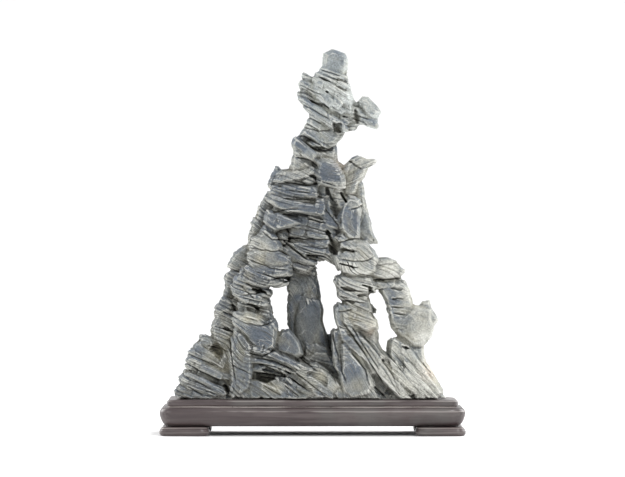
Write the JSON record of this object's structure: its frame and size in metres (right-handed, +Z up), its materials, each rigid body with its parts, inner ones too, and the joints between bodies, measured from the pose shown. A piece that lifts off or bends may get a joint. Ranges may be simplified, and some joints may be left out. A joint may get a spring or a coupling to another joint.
{
  "type": "scholars rock",
  "caption": "Upright layered limestone scholars rock with a narrow stepped peak, spreading legs and see-through arches, set in a low moulded hardwood plinth on corner pads.",
  "frame": {"origin": "on the table, under the middle of the stand's footprint", "axes": "+X along the stand to the viewer's right, +Y from the front towards the back, +Z up"},
  "size_m": [0.305, 0.118, 0.387],
  "materials": {
    "stone": "matt weathered limestone: blue-grey smooth faces, cream to olive weathered hollows, fine white calcite veins",
    "stand_wood": "dark purplish-brown hardwood, satin oiled, worn paler on the edges"
  },
  "bodies": {
    "root": {"stone": "stone", "plinth": "stand_wood", "foot_front_left": "stand_wood", "foot_front_right": "stand_wood", "foot_rear_left": "stand_wood", "foot_rear_right": "stand_wood"}
  },
  "joints": []
}
